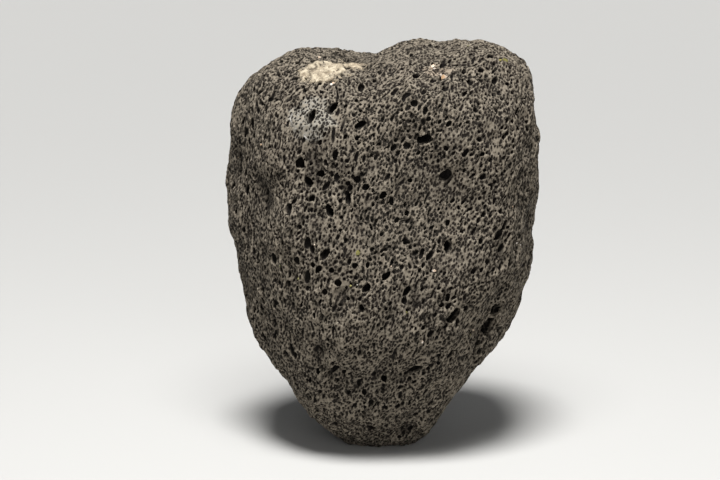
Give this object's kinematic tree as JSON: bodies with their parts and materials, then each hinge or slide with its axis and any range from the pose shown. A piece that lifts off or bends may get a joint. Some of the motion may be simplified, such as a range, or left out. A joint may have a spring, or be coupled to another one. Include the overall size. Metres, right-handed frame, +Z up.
{
  "type": "lava rock",
  "caption": "Rough black lump of bubbly basalt, broad at the top and narrow at the foot, that stands upright on a small flat face.",
  "frame": {"origin": "middle of the bounding box's base, on the flat foot that the stone stands on", "axes": "+Z up along the stone's length, +X to the right of its best side, +Y to its back; the best side faces -Y"},
  "size_m": [0.103, 0.0872, 0.1329],
  "materials": {
    "basalt": "dull, rough and full of gas bubbles",
    "mineral_crust": "dull, powdery and pale",
    "olivine": "small glassy yellow-green grains"
  },
  "bodies": {
    "root": {"lava_rock": "basalt"}
  },
  "joints": []
}
